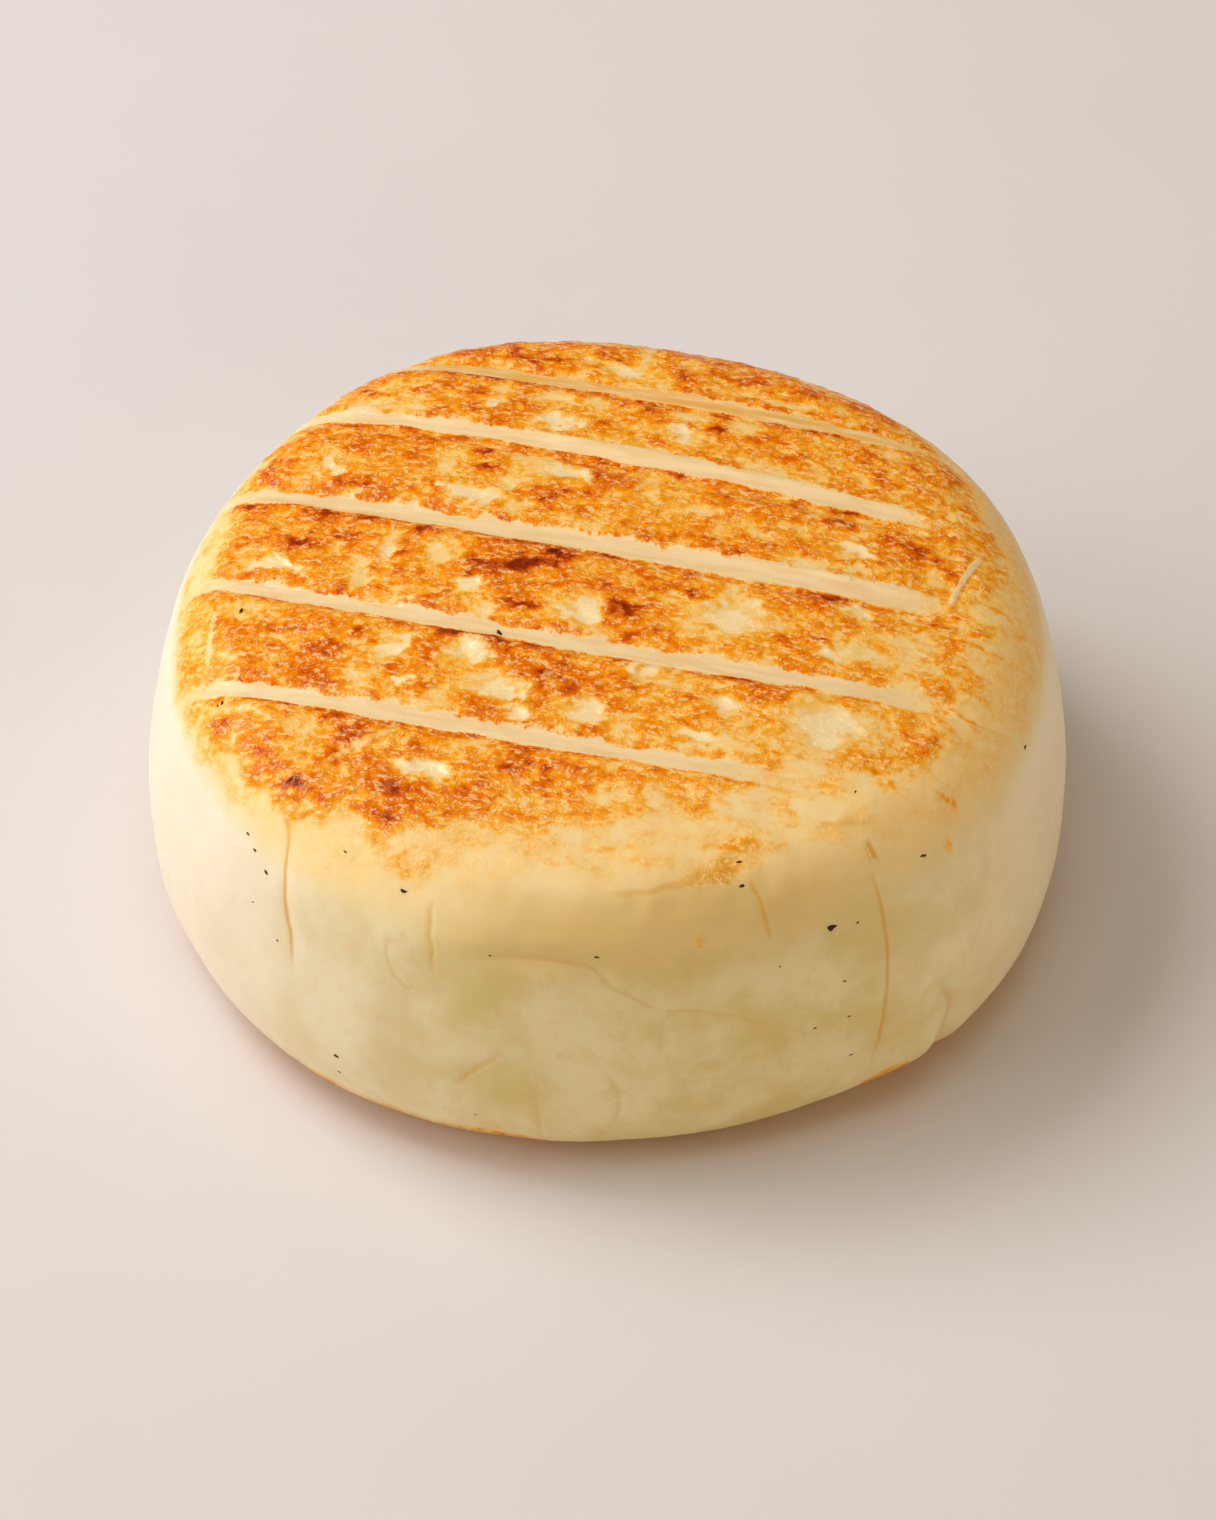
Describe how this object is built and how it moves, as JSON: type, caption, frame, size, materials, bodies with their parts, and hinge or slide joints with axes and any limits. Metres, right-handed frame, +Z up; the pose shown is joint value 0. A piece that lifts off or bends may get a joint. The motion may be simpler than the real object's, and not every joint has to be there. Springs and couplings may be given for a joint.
{
  "type": "halloumi",
  "caption": "Whole round grilled halloumi cheese: low rounded wheel with a seared, barred crust, creased side and flat underside.",
  "frame": {"origin": "on the surface it stands on, under the middle of its bounding box", "axes": "+Z up through the seared top, +X nearly along the grooves of the grill, -Y the creased side that faces the viewer"},
  "size_m": [0.0942, 0.0952, 0.0352],
  "materials": {
    "halloumi": "waxy pale cream-yellow cheese, seared golden to dark brown in bands on the top, slightly glossy"
  },
  "bodies": {
    "root": {"halloumi": "halloumi"}
  },
  "joints": []
}
